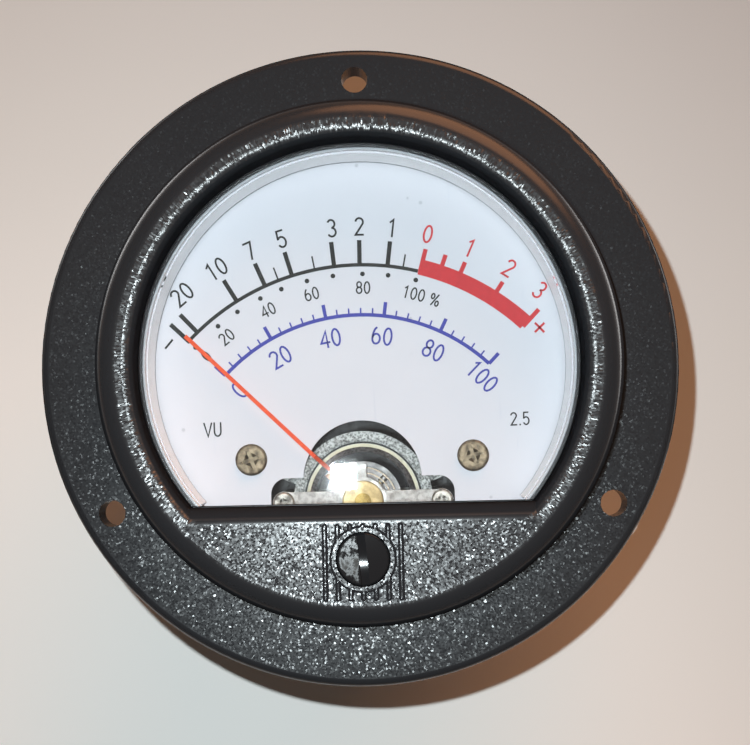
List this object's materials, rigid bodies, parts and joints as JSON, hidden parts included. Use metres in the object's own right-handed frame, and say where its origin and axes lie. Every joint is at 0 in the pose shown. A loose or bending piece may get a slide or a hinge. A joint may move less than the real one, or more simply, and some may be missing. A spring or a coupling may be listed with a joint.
{
  "type": "analog panel meter",
  "caption": "Round moving-coil panel meter with a VU scale, D-shaped window, zero adjuster in the chin, flange with mounting holes and two rear stud terminals.",
  "frame": {"origin": "centre of the flange's back face, on the meter's axis, where it seats on the panel", "axes": "+Z towards the top of the dial, the dial faces -Y, +X to the right of a reader in front"},
  "size_m": [0.08, 0.0581, 0.08],
  "materials": {
    "black_moulding": "spark-eroded texture with smooth rounded edges",
    "black_gloss": "polished black",
    "clear_window": "clear polystyrene, polished",
    "dial_paint": "satin white paint",
    "black_ink": "screen-printed ink",
    "red_ink": "screen-printed ink",
    "blue_ink": "screen-printed ink",
    "nickel_screw": "nickel plate",
    "steel_screw": "zinc plate",
    "rough_casting": "shot-blasted die casting",
    "polished_iron": "turned and lapped",
    "magnet_steel": "turned",
    "support_alloy": "as cast",
    "bright_strip": "bright nickel strip",
    "brass": "turned brass",
    "ruby": "synthetic ruby",
    "fibre": "vulcanised fibre",
    "spring_bronze": "rolled bronze strip",
    "former_alloy": "thin sheet",
    "copper_wire": "enamelled copper wire",
    "pivot_steel": "hardened and polished",
    "weight_wire": "tinned wire, darkened",
    "pointer_paint": "orange-red paint",
    "black_wire": "insulated wire",
    "red_wire": "insulated wire"
  },
  "bodies": {
    "meter": {"front_cover": "black_moulding", "window": "clear_window", "rear_case": "black_moulding", "case_screws": "steel_screw", "dial_plate": "dial_paint", "black_scale_print": "black_ink", "red_scale_print": "red_ink", "blue_scale_print": "blue_ink", "dial_screws": "nickel_screw", "movement_frame": "rough_casting", "frame_screws": "steel_screw", "yoke_ring": "polished_iron", "core_magnet": "magnet_steel", "core_supports": "support_alloy", "front_bridge": "bright_strip", "rear_bridge": "bright_strip", "bridge_screws": "nickel_screw", "front_jewel_screw": "brass", "rear_jewel_screw": "brass", "jewels": "ruby", "front_lock_nut": "brass", "rear_lock_nut": "brass", "zero_arm_bush": "brass", "rear_insulator": "fibre", "rear_spring_arm": "bright_strip", "terminal_studs": "brass", "terminal_washers": "brass", "terminal_clamp_nuts": "brass", "outer_solder_tags": "nickel_screw", "terminal_wire_nuts": "brass", "inner_solder_tags": "nickel_screw", "frame_lead": "black_wire", "spring_lead": "red_wire"},
    "moving_coil": {"coil_former": "former_alloy", "coil_winding": "copper_wire", "front_pivot": "pivot_steel", "rear_pivot": "pivot_steel", "hairspring_collets": "brass", "balance_cross": "brass", "balance_weights": "weight_wire", "pointer": "pointer_paint", "front_hairspring": "spring_bronze", "rear_hairspring": "spring_bronze"},
    "zero_screw": {"zero_adjust_screw": "black_gloss"},
    "zero_arm": {"zero_arm": "bright_strip"}
  },
  "joints": [
    {"name": "pointer_swing", "type": "hinge", "parent": "meter", "child": "moving_coil", "pos_m": [0, 0, -0.0172], "axis": [0, 1, 0], "range_deg": [-3, 95], "stiffness_Nm_per_rad": 0.00002, "deforming": ["front_hairspring", "rear_hairspring"]},
    {"name": "zero_screw_turn", "type": "hinge", "parent": "meter", "child": "zero_screw", "pos_m": [0, 0, -0.0237], "axis": [0, 1, 0], "range_deg": [-45, 45]},
    {"name": "zero_arm_swing", "type": "hinge", "parent": "meter", "child": "zero_arm", "pos_m": [0, 0, -0.0172], "axis": [0, 1, 0], "range_deg": [-6, 6]}
  ],
  "couplings": [
    {"joint": "zero_arm_swing", "follows": "zero_screw_turn", "ratio": 0.1333}
  ]
}
